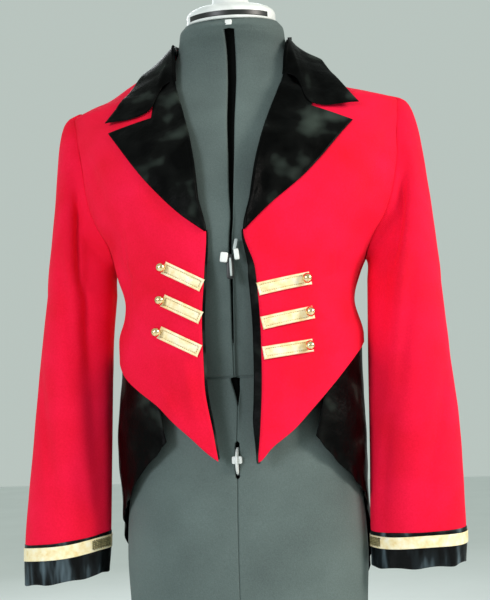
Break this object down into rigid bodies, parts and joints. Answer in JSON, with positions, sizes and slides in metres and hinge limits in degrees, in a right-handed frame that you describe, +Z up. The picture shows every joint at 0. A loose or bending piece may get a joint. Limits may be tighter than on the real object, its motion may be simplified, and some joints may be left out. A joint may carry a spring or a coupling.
{
  "type": "ringmaster jacket on a dress form",
  "caption": "Cropped red tailcoat with black satin lapels, collar, cuffs and tails, gold ribbon tabs with ball buttons, worn open on a limbless dress form on a round base.",
  "frame": {"origin": "centre of the underside of the round base, on the floor under the pole", "axes": "+Z up, +X towards the wearer's left, the front of the jacket faces -Y"},
  "size_m": [0.5628, 0.38, 1.2856],
  "materials": {
    "red_cotton": "matt closely woven red cotton",
    "black_satin": "black satin with a soft sheen",
    "gold_ribbon": "pale gold metallic ribbon",
    "gold_button": "polished gold plated ball buttons",
    "form_cover": "grey fine knit over the form's shell",
    "white_plastic": "white moulded plastic",
    "stand_steel": "dark painted steel"
  },
  "bodies": {
    "root": {"stand_base": "stand_steel", "stand_pole": "stand_steel", "form_body": "form_cover", "form_neck_cap": "white_plastic", "form_adjuster_upper": "white_plastic", "form_adjuster_lower": "white_plastic", "front_left": "red_cotton", "back_left": "red_cotton", "edge_trim_left": "black_satin", "lapel_left": "black_satin", "tail_left": "black_satin", "sleeve_left": "red_cotton", "cuff_left": "black_satin", "cuff_ribbon_left": "gold_ribbon", "tab_left_1": "gold_ribbon", "button_left_1": "gold_button", "tab_left_2": "gold_ribbon", "button_left_2": "gold_button", "tab_left_3": "gold_ribbon", "button_left_3": "gold_button", "front_right": "red_cotton", "back_right": "red_cotton", "edge_trim_right": "black_satin", "lapel_right": "black_satin", "tail_right": "black_satin", "sleeve_right": "red_cotton", "cuff_right": "black_satin", "cuff_ribbon_right": "gold_ribbon", "tab_right_1": "gold_ribbon", "button_right_1": "gold_button", "tab_right_2": "gold_ribbon", "button_right_2": "gold_button", "tab_right_3": "gold_ribbon", "button_right_3": "gold_button", "collar": "black_satin"}
  },
  "joints": []
}
